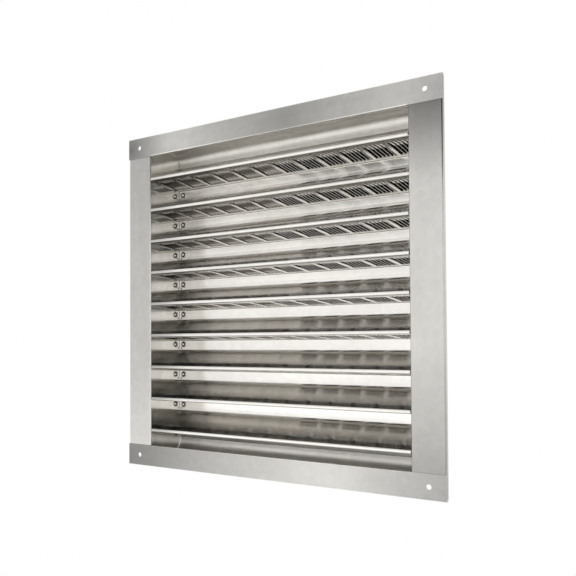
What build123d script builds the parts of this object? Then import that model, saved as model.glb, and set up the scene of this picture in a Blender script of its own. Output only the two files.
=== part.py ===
from build123d import *
from math import cos, radians, sin
import os

# Wall louver of folded galvanised sheet. X runs to the right seen from the front, Y into the wall, Z up.
# The origin is the middle of the face, on the front of the head and sill flanges.

# Face of the frame
FACE_W = 406.4
FACE_H = 406.4
SIDE_FLANGE = 35.0
RAIL_FLANGE = 25.4
EDGE_RETURN = 6.0
SCREW_HOLE_D = 5.5

# Sheet and its folds
SHEET = 0.8
FOLD_R = 0.8
HEM_R = 0.5
HEM_FLAT = 0.1
FIT_GAP = 0.3

# Head and sill behind the face
CEILING_RISE = 12.2
COVE_R = 13.0
HEAD_LEG = 3.5
RAIL_END_GAP = 0.5

# Blades, measured from the middle of each nose
BLADE_COUNT = 9
TOP_BLADE_DROP = 28.2
BOTTOM_BLADE_RISE = 18.4
BLADE_DEPTH = 54.8
NOSE_H = 3.6
NOSE_R = 1.7
LEG_RISE = 17.5
LEG_FOLD_R = 5.0
STRIP_DROP = 6.2
LIP_SHARE = 0.57
UPSTAND = 14.0
TAB_DEPTH = 12.0
BLADE_END_GAP = 1.5
SLEEVE_MARGIN = 2.4

# Slots in the strip under each blade, in groups between plain ribs
SLOT_GROUPS = 12
SLOTS_PER_GROUP = 4
SLOT_W = 3.2
SLOT_SETBACK = 15.5
SLOT_BACK_MARGIN = 6.3
BAR_LEAN = 40.0

# Places worked out from the sizes above
half_w = FACE_W / 2
half_h = FACE_H / 2
opening_half_w = half_w - SIDE_FLANGE
opening_half_h = half_h - RAIL_FLANGE
half_sheet = SHEET / 2
fold_mid = FOLD_R + half_sheet
fold_out = FOLD_R + SHEET
hem_mid = HEM_R + half_sheet
hem_depth = 2 * (HEM_R + SHEET) + HEM_FLAT
ceiling_z = opening_half_h + CEILING_RISE
sleeve_half_h = ceiling_z + SHEET + FIT_GAP
band_y = BLADE_DEPTH + SHEET
sleeve_depth = band_y + TAB_DEPTH + SLEEVE_MARGIN
top_nose_z = opening_half_h - TOP_BLADE_DROP
bottom_nose_z = BOTTOM_BLADE_RISE - opening_half_h
blade_pitch = (top_nose_z - bottom_nose_z) / (BLADE_COUNT - 1)
blade_half_w = opening_half_w - BLADE_END_GAP
lip = LIP_SHARE * (blade_pitch - LEG_RISE - STRIP_DROP)
hole_x = half_w - SIDE_FLANGE / 2
hole_z = half_h - RAIL_FLANGE / 2

os.makedirs("parts", exist_ok=True)


def bent_sheet(plane, points, radii):
    """Section of a folded sheet: the middle of its thickness follows the points."""
    with BuildSketch(plane) as section:
        with BuildLine():
            FilletPolyline(*points, radius=radii)
        trace(line_width=SHEET)
    return section.sketch


def screw_holes(places):
    """Round holes through the face flanges."""
    with BuildSketch(Plane.XZ) as holes:
        with Locations(*places):
            Circle(SCREW_HOLE_D / 2)
    return holes.sketch


def rail(up, leg_y, leg_end_z):
    """Head rail for up = 1, sill rail for up = -1. Heights are taken away from the middle of the face."""
    edge_z = up * (half_h - half_sheet)
    hem_z = up * (opening_half_h + half_sheet)
    hem_back_y = hem_depth - half_sheet
    roof_z = up * (ceiling_z + half_sheet)
    return_to_face = [(EDGE_RETURN, edge_z), (half_sheet, edge_z)]
    hem_to_leg = [
        (half_sheet, hem_z),
        (hem_back_y, hem_z),
        (hem_back_y, roof_z),
        (leg_y + half_sheet, roof_z),
        (leg_y + half_sheet, up * leg_end_z),
    ]
    middle_half_w = opening_half_w - RAIL_END_GAP
    with BuildPart() as folded:
        # Whole section between the jambs
        radii = [fold_mid, hem_mid, hem_mid, fold_mid, COVE_R + half_sheet]
        extrude(bent_sheet(Plane.YZ, return_to_face + hem_to_leg, radii), amount=middle_half_w, both=True)
        # Face flange alone, lapped over the jambs at both ends
        flange_points = [*return_to_face, (half_sheet, up * opening_half_h)]
        flange_end = bent_sheet(Plane.YZ.offset(middle_half_w), flange_points, [fold_mid])
        extrude(flange_end, amount=half_w - middle_half_w)
        mirror(about=Plane.YZ)
        places = [(-hole_x, up * hole_z), (hole_x, up * hole_z)]
        extrude(screw_holes(places), amount=hem_depth, both=True, mode=Mode.SUBTRACT)
    return folded.part


def jamb(right):
    """Right jamb for right = 1, left jamb for right = -1: edge return, face flange and sleeve web."""
    edge_x = right * (half_w - half_sheet)
    web_x = right * (opening_half_w + half_sheet)
    flange_y = SHEET + half_sheet
    points = [(edge_x, EDGE_RETURN), (edge_x, flange_y), (web_x, flange_y), (web_x, sleeve_depth)]
    flange_half_h = half_h - fold_out - FIT_GAP
    with BuildPart() as folded:
        extrude(bent_sheet(Plane.XY, points, [fold_mid, fold_mid]), amount=flange_half_h, both=True)
        # The web is cut back to the height of the sleeve
        with BuildSketch(Plane.YZ.offset(right * opening_half_w)):
            with Locations((SHEET + fold_out, sleeve_half_h), (SHEET + fold_out, -sleeve_half_h - half_h)):
                Rectangle(sleeve_depth, half_h, align=(Align.MIN, Align.MIN))
        extrude(amount=2 * fold_out, both=True, mode=Mode.SUBTRACT)
        places = [(right * hole_x, hole_z), (right * hole_x, -hole_z)]
        extrude(screw_holes(places), amount=EDGE_RETURN, both=True, mode=Mode.SUBTRACT)
    return folded.part


def slot_rows(strip_plane, half):
    """Slots of the right half of a strip for half = 1, of the left half for half = -1."""
    group_pitch = 2 * opening_half_w / SLOT_GROUPS
    slot_pitch = group_pitch / (SLOTS_PER_GROUP + 1)
    slot_length = BLADE_DEPTH - SLOT_SETBACK - SLOT_BACK_MARGIN
    middle = (half * opening_half_w / 2, SLOT_SETBACK - SHEET + slot_length / 2)
    with BuildSketch(strip_plane) as slots:
        with Locations(middle):
            with GridLocations(group_pitch, slot_length, SLOT_GROUPS // 2, 1):
                with GridLocations(slot_pitch, slot_length, SLOTS_PER_GROUP, 1):
                    Rectangle(SLOT_W, slot_length)
    return slots.sketch


def blade(index):
    """Blade counted from the top: lap lip, slotted strip, nose, sloped leg, back band and end tabs."""
    nose_z = top_nose_z - index * blade_pitch
    nose_y = SHEET + half_sheet
    lip_y = BLADE_DEPTH + half_sheet
    band_mid_y = band_y + half_sheet
    strip_front = (nose_y, nose_z - NOSE_H / 2 + half_sheet)
    strip_rear = (lip_y, nose_z - STRIP_DROP + half_sheet)
    # The band stands up behind the strip of the next blade above, or behind the head rail
    band_top = min(nose_z + blade_pitch - STRIP_DROP + UPSTAND, sleeve_half_h)
    points = [
        (lip_y, nose_z - STRIP_DROP - lip),
        strip_rear,
        strip_front,
        (nose_y, nose_z + NOSE_H / 2 - half_sheet),
        (band_mid_y, nose_z + LEG_RISE - half_sheet),
        (band_mid_y, band_top),
    ]
    tab_low = nose_z + LEG_RISE + LEG_FOLD_R
    run = Vector(0, strip_rear[0] - strip_front[0], strip_rear[1] - strip_front[1]).normalized()
    up = Vector(1, 0, 0).cross(run)
    strip_plane = Plane((0, *strip_front), x_dir=(1, 0, 0), z_dir=up)
    with BuildPart() as folded:
        nose_mid = NOSE_R - half_sheet
        radii = [fold_mid, nose_mid, nose_mid, LEG_FOLD_R + half_sheet]
        extrude(bent_sheet(Plane.YZ, points, radii), amount=blade_half_w, both=True)
        # The ends of the band turn back along the jambs
        with BuildSketch(Plane.XY.offset(tab_low)):
            with Locations((opening_half_w, band_y)):
                Rectangle(BLADE_END_GAP, SHEET, align=(Align.MAX, Align.MIN))
                Rectangle(SHEET, TAB_DEPTH, align=(Align.MAX, Align.MIN))
        extrude(amount=band_top - tab_low)
        mirror(about=Plane.YZ)
        # The bars between the slots lean, and the two halves of the strip lean opposite ways
        for half in (1, -1):
            lean = up * cos(radians(BAR_LEAN)) - Vector(half * sin(radians(BAR_LEAN)), 0, 0)
            rows = slot_rows(strip_plane, half)
            extrude(rows, amount=2 * SHEET, dir=lean, both=True, mode=Mode.SUBTRACT)
    return folded.part


pieces = {
    "left_jamb": jamb(-1),
    "right_jamb": jamb(1),
    "head_rail": rail(1, BLADE_DEPTH, ceiling_z - COVE_R - HEAD_LEG),
    "sill_rail": rail(-1, band_y, STRIP_DROP - bottom_nose_z - UPSTAND),
}
for index in range(BLADE_COUNT):
    pieces[f"blade_{index + 1}"] = blade(index)
for name, piece in pieces.items():
    piece.label = name
    export_step(piece, f"parts/{name}.step")
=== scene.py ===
from math import cos, pi, radians, sin, tan

import bmesh
import bpy
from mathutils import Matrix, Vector


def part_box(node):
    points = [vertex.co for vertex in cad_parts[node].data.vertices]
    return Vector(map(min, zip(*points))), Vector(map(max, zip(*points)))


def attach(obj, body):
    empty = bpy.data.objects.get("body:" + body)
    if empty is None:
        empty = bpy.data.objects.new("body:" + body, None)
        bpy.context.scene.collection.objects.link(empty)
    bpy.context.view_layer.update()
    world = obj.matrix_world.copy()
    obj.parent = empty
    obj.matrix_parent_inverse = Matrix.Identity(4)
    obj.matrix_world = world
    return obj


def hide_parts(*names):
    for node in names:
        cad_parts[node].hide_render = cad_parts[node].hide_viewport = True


# Looks of a wall louver of folded galvanised sheet. All lengths are in metres.
# X runs to the right seen from the front, Y into the wall, Z up.

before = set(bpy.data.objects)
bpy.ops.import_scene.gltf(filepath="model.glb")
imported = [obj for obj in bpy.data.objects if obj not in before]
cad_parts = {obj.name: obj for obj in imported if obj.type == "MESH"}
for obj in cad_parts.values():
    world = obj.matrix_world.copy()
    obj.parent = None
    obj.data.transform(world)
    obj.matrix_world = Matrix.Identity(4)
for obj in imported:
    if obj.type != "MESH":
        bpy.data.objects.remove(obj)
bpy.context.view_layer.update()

# Section of a blade, measured from the middle of its nose
SHEET = 0.0008
BLADE_DEPTH = 0.0548
NOSE_H = 0.0036
NOSE_R = 0.0017
BULB_LENGTH = 0.009
BULB_SLOPE = radians(26)
BULB_R = 0.025
BULB_RISE = 0.002
LEG_RISE = 0.0175
LEG_FOLD_R = 0.005
STRIP_DROP = 0.0062
LIP_SHARE = 0.57
LIP_FOLD_R = 0.0008
UPSTAND_EXTRA = 0.005
TAB_DEPTH = 0.012
TAB_FOLD_R = 0.0016
TAB_LAP = 0.0032
BLADE_END_GAP = 0.0004

# Twisted bars of the slotted strip, in groups between plain ribs
GROUPS = 12
BARS = 5
RIB_W = 0.0040
BAR_W = 0.0024
BAR_LEAN = radians(45)
SLOT_FRONT = 0.0100
SLOT_REAR = 0.0492
ROOT_LENGTH = 0.006
ROOT_RISE = 0.0010
TWIST_FRONT = 0.014
TWIST_REAR = 0.004
TWIST_STEP = 0.001

# Rivet heads that hold the lips to the bands: (radius, height) of each ring, and the rows of the groove,
# which get painted shade
RIVET_INSET = 0.0063
RIVET_RISE = 0.0037
RIVET_SIDES = 24
RIVET_PROFILE = [
    (0.0042, 0.0),
    (0.0038, 0.0005),
    (0.0033, 0.0005),
    (0.003, 0.0002),
    (0.0023, 0.0002),
    (0.0021, 0.0009),
    (0.0016, 0.0014),
    (0.0008, 0.0016),
]
RIVET_GROOVE_SHADE = (2, 3, 4)

# Fineness of the meshes
ARC_STEP = radians(9)
ARC_STEPS_MIN = 4
MITRE_MIN = 0.3
SHARP_ANGLE = radians(50)

# Finishes of a blade's faces: plain, near-black painted shade, and cut edge
PLAIN = 0
SHADOWED = 1
CUT = 2

# Zinc: colours, and the stretch of its streaks
FRAME_COLOUR = (0.97, 0.95, 0.905)
BLADE_COLOUR = (0.72, 0.70, 0.666)
EDGE_COLOUR = (0.95, 0.94, 0.92)
# Near-black painted shade for faces under the legs, in the rivet grooves and on the bars' cut edges at the
# root
POCKET_SHADE_COLOUR = (0.03, 0.03, 0.029)
RAIL_STREAK = (0.12, 1.0, 1.0)
JAMB_STREAK = (1.0, 1.0, 0.12)
BLADE_STREAK = (0.06, 1.0, 1.0)
EVEN = (1.0, 1.0, 1.0)

# Zinc: texture scales, shares of the shade and roughness, and bump
SPANGLE_SCALE = 160.0
STREAK_SCALE = 60.0
STREAK_DETAIL = 6.0
STREAK_SHADE = (0.86, 1.1)
CLOUD_SCALE = 14.0
CLOUD_SHADE = (0.92, 1.08)
ROUGH_LOW = 0.75
ROUGH_HIGH = 1.3
WAVE_SCALE = 9.0
WAVE_STRETCH = (1.0, 1.0, 1.6)
WAVE_HEIGHT = 0.004
STREAK_BUMP = 0.06
STREAK_HEIGHT = 0.0004

# Outer face of the flanges: (depth, colour share, roughness share), blended over the skin's depth
FACE_SKIN = 0.00003
RAIL_FACE = (0.0, 0.57, 0.75)
JAMB_FACE = (SHEET, 0.94, 2.6)
# Colour share of the jambs' outside
JAMB_OUTSIDE = 0.62
# Patches of painted shade on the flanges: (x, z, radius, colour share)
PATCH_DEPTH = 0.006
RAIL_SHADE_PATCHES = [
    (-0.21, -0.2, 0.26, 0.35),
    (0.21, -0.2, 0.12, 0.6),
    (-0.2, 0.19, 0.06, 0.35),
    (0.03, 0.19, 0.14, 0.55),
    (0.21, 0.19, 0.06, 0.75),
]
JAMB_SHADE_PATCHES = [
    (-0.19, 0.2, 0.35, 0.75),
    (0.19, 0.2, 0.1, 0.1),
    (0.19, -0.21, 0.16, 0.45),
]
# Painted shade in the corner at the left ends of the legs: (middle, radii, colour share)
LEG_END_SHADE = ((-0.168, 0.02, -0.1), (0.065, 0.036, 0.4), 0.06)

# Camera of the photograph
CAMERA_PLACE = (0.40766, -0.61474, -0.05122)
CAMERA_TURN = (91.3117, 0.3468, 31.5375)
CAMERA_LENS = 42.02
CAMERA_SENSOR = 36.0
CAMERA_SHIFT_Y = 0.0652
CAMERA_NEAR = 0.01

# Soft lamps: name, place, size and radiance
SOFTBOXES = [
    ("front_left", (-0.85, -2.1, 0.05), (1.7, 1.5), 0.37),
    ("front_low", (-0.75, -1.4, -0.80), (2.6, 1.0), 0.45),
]
WHITE = (1.0, 1.0, 1.0, 1.0)
WORLD_STRENGTH = 0.9
WHITE_STRENGTH = 1.0
FLOOR_PLACE = (0.0, 0.0, -1.0)
FLOOR_SIZE = (8.0, 8.0)
FLOOR_COLOUR = (0.75, 0.75, 0.74, 1.0)
FLAG_PLACE = (1.0, -1.1, 1.1)
FLAG_SIZE = (2.0, 1.4)
FLAG_COLOUR = (0.03, 0.03, 0.03, 1.0)
CAMERA_RAYS = ("Is Camera Ray",)
SEEING_RAYS = ("Is Camera Ray", "Is Glossy Ray", "Is Transmission Ray")

# Nodes, and places worked out from the sizes above
blade_names = [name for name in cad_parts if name.startswith("blade_")]
BLADES = sorted(blade_names, key=lambda name: int(name.split("_")[1]))
RAILS = ["head_rail", "sill_rail"]
JAMBS = ["left_jamb", "right_jamb"]
half_sheet = SHEET / 2
opening_half_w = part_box(BLADES[0])[1].x
blade_half_w = opening_half_w - BLADE_END_GAP
band_y = BLADE_DEPTH + SHEET
band_mid_y = band_y + half_sheet
strip_front = Vector((SHEET + half_sheet, -NOSE_H / 2 + half_sheet))
strip_rear = Vector((BLADE_DEPTH + half_sheet, -STRIP_DROP + half_sheet))
strip_run = (strip_rear - strip_front).normalized()
strip_up = Vector((-strip_run.y, strip_run.x))
front_run = (SLOT_FRONT - strip_front.x) / strip_run.x
rear_run = (SLOT_REAR - strip_front.x) / strip_run.x
slot_front = strip_front + strip_run * front_run
slot_rear = strip_front + strip_run * rear_run
group_w = 2 * opening_half_w / GROUPS
bar_gap = (group_w - RIB_W - BARS * BAR_W) / (BARS + 1)
blade_lows = [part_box(name)[0].z for name in BLADES]
blade_pitch = (blade_lows[0] - blade_lows[-1]) / (len(BLADES) - 1)
nose_rise = STRIP_DROP + LIP_SHARE * (blade_pitch - LEG_RISE - STRIP_DROP)
noses = [low + nose_rise for low in blade_lows]


def ease(share):
    """Smooth step from 0 to 1."""
    share = min(max(share, 0.0), 1.0)
    return share * share * (3 - 2 * share)


def turned(point, turn):
    """Point of a plane turned about the plane's origin."""
    x, y = point
    return Vector((x * cos(turn) - y * sin(turn), x * sin(turn) + y * cos(turn)))


def folded(points, radii):
    """Points of a line with its inner corners rounded to the radii."""
    line = [Vector(points[0])]
    for before, corner, after, radius in zip(points, points[1:], points[2:], radii):
        back = (Vector(before) - Vector(corner)).normalized()
        ahead = (Vector(after) - Vector(corner)).normalized()
        half_angle = back.angle(ahead) / 2
        start = Vector(corner) + back * radius / tan(half_angle)
        middle = Vector(corner) + (back + ahead).normalized() * radius / sin(half_angle)
        side = 1 if back.x * ahead.y - back.y * ahead.x < 0 else -1
        sweep = side * (pi - 2 * half_angle)
        steps = max(ARC_STEPS_MIN, round(abs(sweep) / ARC_STEP))
        line.extend(middle + turned(start - middle, sweep * step / steps) for step in range(steps + 1))
    line.append(Vector(points[-1]))
    return line


def in_pocket(point):
    """Is the point in the hollow between a blade's strip and its sloped leg?"""
    if not strip_front.x < point.y < band_y:
        return False
    depth = point.y - strip_front.x
    floor = strip_front.y + depth * strip_run.y / strip_run.x
    roof = NOSE_H / 2 + depth * (LEG_RISE - NOSE_H / 2) / (band_y - strip_front.x)
    return any(floor < point.z - nose_z < roof + BULB_RISE for nose_z in noses)


class Shell:
    """Closed sheets gathered into one mesh, with the finish of the faces that state one."""

    def __init__(self):
        self.points = []
        self.faces = []
        self.finish = {}

    def loft(self, rings):
        """Skin between rings of equal length, with a cap at each end. Gives its first face and row size."""
        first_face = len(self.faces)
        base = len(self.points)
        size = len(rings[0])
        last = base + (len(rings) - 1) * size
        for ring in rings:
            self.points.extend(ring)
        for near in range(base, last, size):
            far = near + size
            for k in range(size):
                ahead = (k + 1) % size
                self.faces.append((near + k, near + ahead, far + ahead, far + k))
        self.faces.append(tuple(base + k for k in reversed(range(size))))
        self.faces.append(tuple(last + k for k in range(size)))
        return first_face, size

    def sheet(self, line, low, high, place):
        """Sheet whose section's middle follows a line, drawn out from low to high. Gives its first face."""
        rings = []
        for k, here in enumerate(line):
            ahead = line[min(k + 1, len(line) - 1)] - here
            back = here - line[max(k - 1, 0)]
            run = (ahead.normalized() + back.normalized()).normalized()
            side = Vector((-run.y, run.x))
            straight = ahead if ahead.length else back
            mitre = side.dot(Vector((-straight.y, straight.x)).normalized())
            reach = side * (half_sheet / max(MITRE_MIN, mitre))
            left = here + reach
            right = here - reach
            rings.append([place(left, low), place(right, low), place(right, high), place(left, high)])
        first_face, _ = self.loft(rings)
        return first_face

    def bar(self, sections, root_rows):
        """Bar through a row of sections, its cut edges given painted shade along the rows of its root."""
        first_face, size = self.loft(sections)
        for k in range((len(sections) - 1) * size):
            # Cut edges along the root get painted shade, the rest the bright cut finish
            edge = SHADOWED if k // size < root_rows else CUT
            self.finish[first_face + k] = PLAIN if k % 2 else edge

    def finish_of(self, face):
        """Finish of a face: as stated, or painted shade under the leg of a blade."""
        if face.index in self.finish:
            return self.finish[face.index]
        under_leg = face.normal.z < 0 and in_pocket(face.center + face.normal * half_sheet)
        return SHADOWED if under_leg else PLAIN

    def piece(self, name, materials):
        """Object of the sheets, with one material for each finish."""
        mesh = bpy.data.meshes.new(name)
        mesh.from_pydata([tuple(p) for p in self.points], [], self.faces)
        outward = bmesh.new()
        outward.from_mesh(mesh)
        bmesh.ops.recalc_face_normals(outward, faces=outward.faces)
        outward.to_mesh(mesh)
        outward.free()
        for material in materials:
            mesh.materials.append(material)
        for face in mesh.polygons:
            face.material_index = self.finish_of(face)
        mesh.shade_smooth()
        mesh.set_sharp_from_angle(angle=SHARP_ANGLE)
        piece = bpy.data.objects.new(name, mesh)
        bpy.context.scene.collection.objects.link(piece)
        return piece


def blade_shell(nose_z, lip_low, band_top):
    """One blade: front sheet with nose, leg and band, slotted strip, lap lip and end tabs."""
    shell = Shell()

    def across(point, x):
        return Vector((x, point.x, nose_z + point.y))

    def upright(point, z):
        return Vector((point.x, point.y, z))

    # Front sheet from the slots round the nose to the top of the band
    nose_mid = NOSE_R - half_sheet
    nose_top = Vector((strip_front.x, NOSE_H / 2 - half_sheet))
    bulb = nose_top + turned((BULB_LENGTH, 0.0), BULB_SLOPE)
    leg_top = Vector((band_mid_y, LEG_RISE - half_sheet))
    upstand = Vector((band_mid_y, min(blade_pitch - STRIP_DROP + SHEET, band_top - nose_z - SHEET)))
    front = [slot_front, strip_front, nose_top, bulb, leg_top, upstand]
    front_line = folded(front, [nose_mid, nose_mid, BULB_R, LEG_FOLD_R + half_sheet])
    front_line.append(Vector((band_mid_y, band_top - nose_z)))
    shell.sheet(front_line, -blade_half_w, blade_half_w, across)

    # Rear of the strip and the lap lip. The cap that closes the slots is a cut edge
    rear = [slot_rear, strip_rear, Vector((strip_rear.x, lip_low - nose_z))]
    shell.sheet(folded(rear, [LIP_FOLD_R + half_sheet]), -blade_half_w, blade_half_w, across)
    shell.finish[len(shell.faces) - 2] = CUT

    # Tabs turned back along the jambs
    for side in (-1, 1):
        tab_x = side * (opening_half_w - half_sheet)
        tab_start = (side * (blade_half_w - TAB_LAP), band_mid_y)
        tab = [tab_start, (tab_x, band_mid_y), (tab_x, band_y + TAB_DEPTH)]
        shell.sheet(folded(tab, [TAB_FOLD_R]), nose_z + LEG_RISE, band_top, upright)

    # Ribs of the strip, whose first and third faces are their sides
    for group in range(GROUPS + 1):
        rib_x = -opening_half_w + group * group_w
        low = max(rib_x - RIB_W / 2, -blade_half_w)
        high = min(rib_x + RIB_W / 2, blade_half_w)
        side_face = shell.sheet([slot_front, slot_rear], low, high, across)
        shell.finish[side_face] = PLAIN
        shell.finish[side_face + 2] = PLAIN

    # Bars: flat at the root, twisted between the ends, leaning opposite ways in the two halves
    front_steps = round((ROOT_LENGTH + TWIST_FRONT) / TWIST_STEP)
    rear_steps = round(TWIST_REAR / TWIST_STEP)
    bar_runs = [front_run + k * TWIST_STEP for k in range(front_steps + 1)]
    bar_runs += [rear_run - k * TWIST_STEP for k in range(rear_steps, -1, -1)]
    bar_corners = [
        (BAR_W / 2, -half_sheet),
        (BAR_W / 2, half_sheet),
        (-BAR_W / 2, half_sheet),
        (-BAR_W / 2, -half_sheet),
    ]
    for group in range(GROUPS):
        lean = BAR_LEAN if group < GROUPS / 2 else -BAR_LEAN
        start_x = -opening_half_w + group * group_w + RIB_W / 2
        for bar in range(BARS):
            bar_x = start_x + (bar + 1) * bar_gap + (bar + 0.5) * BAR_W
            sections = []
            for run in bar_runs:
                tail = ease((rear_run - run) / TWIST_REAR)
                turn = lean * min(ease((run - front_run - ROOT_LENGTH) / TWIST_FRONT), tail)
                lift = ROOT_RISE * min(ease((run - front_run) / ROOT_LENGTH), tail)
                section = []
                for corner in bar_corners:
                    offset = turned(corner, turn)
                    point = strip_front + strip_run * run + strip_up * (offset.y + lift)
                    section.append(across(point, bar_x + offset.x))
                sections.append(section)
            shell.bar(sections, round(ROOT_LENGTH / TWIST_STEP))
    return shell


def rivet_heads(places):
    """Low domed heads with a dished ring, standing forward from the lips, the ring's groove painted with
    shade.
    """
    shell = Shell()
    turns = [2 * pi * k / RIVET_SIDES for k in range(RIVET_SIDES)]
    for x, y, z in places:
        rings = []
        for radius, height in RIVET_PROFILE:
            rings.append([Vector((x + radius * cos(t), y - height, z + radius * sin(t))) for t in turns])
        first_face, size = shell.loft(rings)
        # The groove's rows get painted shade
        for row in RIVET_GROOVE_SHADE:
            shell.finish.update((first_face + row * size + k, SHADOWED) for k in range(size))
    return shell


def flange_shade_patches(patches):
    """Middles, radii and shares of patches of painted shade that stay on the face of the flanges."""
    return [((x, 0.0, z), (radius, PATCH_DEPTH, radius), share) for x, z, radius, share in patches]


def galvanised(
    name, colour, rough, grain, streak, wave, metallic=1.0, specular=0.5, face=None, outside=None, painted_shades=()
):
    """Zinc-coated sheet: fine crystal grain, rolling streaks and a slow waviness.

    face gives the (depth, colour share, roughness share) of the outer face of a flange,
    outside the (distance from the middle, colour share) of the outside of the sleeve,
    and painted_shades the (middle, radii, colour share) of each patch of painted shade.
    """
    material = bpy.data.materials.new(name)
    material.use_nodes = True
    nodes = material.node_tree.nodes
    links = material.node_tree.links
    shader = nodes["Principled BSDF"]
    shader.inputs["Metallic"].default_value = metallic
    shader.inputs["Specular IOR Level"].default_value = specular
    place = nodes.new("ShaderNodeTexCoord").outputs["Object"]

    def mapped(location, scale):
        node = nodes.new("ShaderNodeMapping")
        node.inputs["Location"].default_value = location
        node.inputs["Scale"].default_value = scale
        links.new(place, node.inputs["Vector"])
        return node.outputs["Vector"]

    def texture(kind, scale, stretch):
        node = nodes.new(kind)
        node.inputs["Scale"].default_value = scale
        links.new(mapped((0.0, 0.0, 0.0), stretch), node.inputs["Vector"])
        return node

    def spread(source, low, high, start=0.0, end=1.0):
        node = nodes.new("ShaderNodeMapRange")
        node.inputs["From Min"].default_value = start
        node.inputs["From Max"].default_value = end
        node.inputs["To Min"].default_value = low
        node.inputs["To Max"].default_value = high
        links.new(source, node.inputs["Value"])
        return node.outputs["Result"]

    def joined(first, second):
        node = nodes.new("ShaderNodeMath")
        node.operation = "MULTIPLY"
        links.new(first, node.inputs[0])
        links.new(second, node.inputs[1])
        return node.outputs["Value"]

    def bump(height, strength, distance):
        node = nodes.new("ShaderNodeBump")
        node.inputs["Strength"].default_value = strength
        node.inputs["Distance"].default_value = distance
        links.new(height, node.inputs["Height"])
        return node

    # Crystal spangle and streaks tint the colour and the roughness
    spangle = texture("ShaderNodeTexVoronoi", SPANGLE_SCALE, EVEN)
    streaks = texture("ShaderNodeTexNoise", STREAK_SCALE, streak)
    streaks.inputs["Detail"].default_value = STREAK_DETAIL
    cloud = texture("ShaderNodeTexNoise", CLOUD_SCALE, EVEN)
    shade = spread(spangle.outputs["Color"], 1.0 - grain, 1.0)
    shade = joined(shade, spread(streaks.outputs["Fac"], *STREAK_SHADE))
    shade = joined(shade, spread(cloud.outputs["Fac"], *CLOUD_SHADE))
    roughness = spread(streaks.outputs["Fac"], rough * ROUGH_LOW, rough * ROUGH_HIGH)

    # Outer face, outside, and patches of painted shade
    split = nodes.new("ShaderNodeSeparateXYZ")
    links.new(place, split.inputs["Vector"])
    if face:
        depth, face_shade, face_rough = face
        skin = (depth + FACE_SKIN, depth + 3 * FACE_SKIN)
        shade = joined(shade, spread(split.outputs["Y"], face_shade, 1.0, *skin))
        roughness = joined(roughness, spread(split.outputs["Y"], face_rough, 1.0, *skin))
    if outside:
        distance, outside_shade = outside
        reach = nodes.new("ShaderNodeMath")
        reach.operation = "ABSOLUTE"
        links.new(split.outputs["X"], reach.inputs[0])
        skin = (distance - FACE_SKIN, distance + FACE_SKIN)
        shade = joined(shade, spread(reach.outputs["Value"], 1.0, outside_shade, *skin))
    # Each patch darkens the colour towards its middle: painted shade
    for middle, radii, share in painted_shades:
        patch = nodes.new("ShaderNodeTexGradient")
        patch.gradient_type = "SPHERICAL"
        location = [-m / r for m, r in zip(middle, radii)]
        links.new(mapped(location, [1 / r for r in radii]), patch.inputs["Vector"])
        shade = joined(shade, spread(patch.outputs["Fac"], 1.0, share))
    tint = nodes.new("ShaderNodeVectorMath")
    tint.operation = "SCALE"
    tint.inputs[0].default_value = colour
    links.new(shade, tint.inputs["Scale"])
    links.new(tint.outputs["Vector"], shader.inputs["Base Color"])
    links.new(roughness, shader.inputs["Roughness"])

    # Slow waves and fine streaks bend the reflections
    slow = bump(texture("ShaderNodeTexNoise", WAVE_SCALE, WAVE_STRETCH).outputs["Fac"], wave, WAVE_HEIGHT)
    fine = bump(streaks.outputs["Fac"], STREAK_BUMP, STREAK_HEIGHT)
    links.new(slow.outputs["Normal"], fine.inputs["Normal"])
    links.new(fine.outputs["Normal"], shader.inputs["Normal"])
    return material


def white_to(tree, rays, white, other):
    """Shader that is white to the kinds of ray named, and the other shader to the rest."""
    path = tree.nodes.new("ShaderNodeLightPath")
    seen = path.outputs[rays[0]]
    for ray in rays[1:]:
        either = tree.nodes.new("ShaderNodeMath")
        either.operation = "MAXIMUM"
        tree.links.new(seen, either.inputs[0])
        tree.links.new(path.outputs[ray], either.inputs[1])
        seen = either.outputs["Value"]
    mix = tree.nodes.new("ShaderNodeMixShader")
    tree.links.new(seen, mix.inputs["Fac"])
    tree.links.new(other, mix.inputs[1])
    tree.links.new(white, mix.inputs[2])
    return mix.outputs["Shader"]


def facing_middle(place):
    """Turn that points an object's -Z at the origin."""
    return (-Vector(place)).to_track_quat("-Z", "Y").to_euler()


def surround():
    """World that is white wherever it is seen."""
    world = bpy.data.worlds.new("studio")
    bpy.context.scene.world = world
    world.use_nodes = True
    tree = world.node_tree
    tree.nodes.clear()
    shades = []
    for strength in (WHITE_STRENGTH, WORLD_STRENGTH):
        shade = tree.nodes.new("ShaderNodeBackground")
        shade.inputs["Color"].default_value = WHITE
        shade.inputs["Strength"].default_value = strength
        shades.append(shade.outputs["Background"])
    out = tree.nodes.new("ShaderNodeOutputWorld")
    tree.links.new(white_to(tree, SEEING_RAYS, *shades), out.inputs["Surface"])


def card(name, place, size, colour, white_rays):
    """Flat sheet of the stage, white to some kinds of ray."""
    mesh = bpy.data.meshes.new(name)
    half_x, half_y = size[0] / 2, size[1] / 2
    corners = [(-half_x, -half_y, 0), (half_x, -half_y, 0), (half_x, half_y, 0), (-half_x, half_y, 0)]
    mesh.from_pydata(corners, [], [(0, 1, 2, 3)])
    sheet = bpy.data.objects.new(name, mesh)
    sheet.location = place
    bpy.context.scene.collection.objects.link(sheet)
    material = bpy.data.materials.new(name)
    material.use_nodes = True
    tree = material.node_tree
    tree.nodes.clear()
    paint = tree.nodes.new("ShaderNodeBsdfDiffuse")
    paint.inputs["Color"].default_value = colour
    white = tree.nodes.new("ShaderNodeEmission")
    white.inputs["Strength"].default_value = WHITE_STRENGTH
    out = tree.nodes.new("ShaderNodeOutputMaterial")
    shown = white_to(tree, white_rays, white.outputs["Emission"], paint.outputs["BSDF"])
    tree.links.new(shown, out.inputs["Surface"])
    mesh.materials.append(material)
    return sheet


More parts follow.
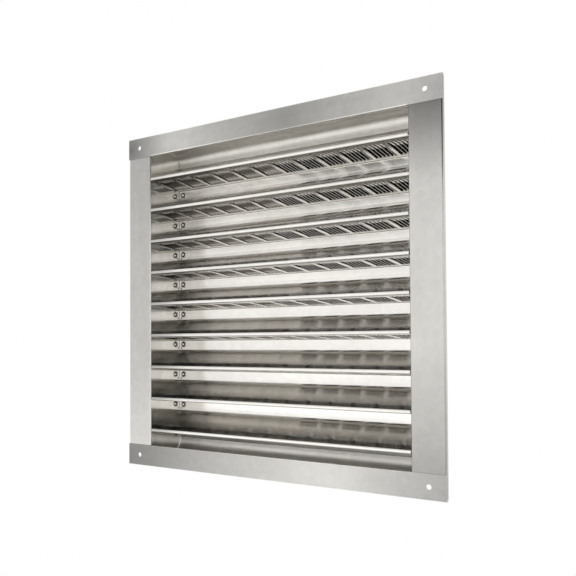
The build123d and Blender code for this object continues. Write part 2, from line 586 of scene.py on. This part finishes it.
def studio():
    """White surround, soft lamps, pale floor, and a dark flag for the metal to mirror."""
    surround()
    for name, place, size, radiance in SOFTBOXES:
        lamp = bpy.data.lights.new(name, "AREA")
        lamp.shape = "RECTANGLE"
        lamp.size, lamp.size_y = size
        lamp.energy = radiance * pi * size[0] * size[1]
        box = bpy.data.objects.new(name, lamp)
        box.location = place
        box.rotation_euler = facing_middle(place)
        bpy.context.scene.collection.objects.link(box)
    card("floor", FLOOR_PLACE, FLOOR_SIZE, FLOOR_COLOUR, SEEING_RAYS)
    flag = card("flag", FLAG_PLACE, FLAG_SIZE, FLAG_COLOUR, CAMERA_RAYS)
    flag.rotation_euler = facing_middle(FLAG_PLACE)


def camera():
    """Camera at the photograph's viewing angle."""
    data = bpy.data.cameras.new("camera")
    data.lens = CAMERA_LENS
    data.sensor_width = CAMERA_SENSOR
    data.shift_y = CAMERA_SHIFT_Y
    data.clip_start = CAMERA_NEAR
    eye = bpy.data.objects.new("camera", data)
    eye.location = CAMERA_PLACE
    eye.rotation_euler = [radians(a) for a in CAMERA_TURN]
    bpy.context.scene.collection.objects.link(eye)
    bpy.context.scene.camera = eye


# Materials
# The frame and jamb sheets carry patches of painted shade on their flange faces
frame_sheet = galvanised(
    "frame_sheet", FRAME_COLOUR, rough=0.45, grain=0.08, streak=RAIL_STREAK, wave=0.10,
    face=RAIL_FACE, painted_shades=flange_shade_patches(RAIL_SHADE_PATCHES),
)
jamb_sheet = galvanised(
    "jamb_sheet", FRAME_COLOUR, rough=0.12, grain=0.08, streak=JAMB_STREAK, wave=0.10,
    face=JAMB_FACE, outside=(opening_half_w + half_sheet, JAMB_OUTSIDE), painted_shades=flange_shade_patches(JAMB_SHADE_PATCHES),
)
# The blade sheet darkens the left ends of the legs with painted shade
blade_sheet = galvanised(
    "blade_sheet", BLADE_COLOUR, rough=0.2, grain=0.05, streak=BLADE_STREAK, wave=0.28, painted_shades=[LEG_END_SHADE],
)
cut_edge = galvanised("cut_edge", EDGE_COLOUR, rough=0.35, grain=0.05, streak=EVEN, wave=0.05, metallic=0.2)
# Near-black, matt paint that stands in for the shade under the legs, in the rivet grooves and at the bar
# roots
pocket_shade_paint = galvanised(
    "pocket_shade_paint", POCKET_SHADE_COLOUR, rough=0.8, grain=0.1, streak=BLADE_STREAK, wave=0.1,
    metallic=0.0, specular=0.0,
)
blade_finishes = [blade_sheet, pocket_shade_paint, cut_edge]
for name in RAILS:
    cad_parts[name].data.materials[0] = frame_sheet
for name in JAMBS:
    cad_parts[name].data.materials[0] = jamb_sheet

# Blades in place of the plain ones, and the rivets at their ends
rivet_places = []
for name, nose_z in zip(BLADES, noses):
    low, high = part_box(name)
    band_top = high.z if name == BLADES[0] else high.z + UPSTAND_EXTRA
    blade = blade_shell(nose_z, low.z, band_top).piece(name + "_sheet", blade_finishes)
    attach(blade, "root")
    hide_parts(name)
    for side in (-1, 1):
        rivet_places.append((side * (blade_half_w - RIVET_INSET), BLADE_DEPTH, low.z + RIVET_RISE))
rivets = rivet_heads(rivet_places).piece("lap_rivets", blade_finishes)
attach(rivets, "root")

studio()
camera()
bpy.context.scene.view_settings.view_transform = "Standard"
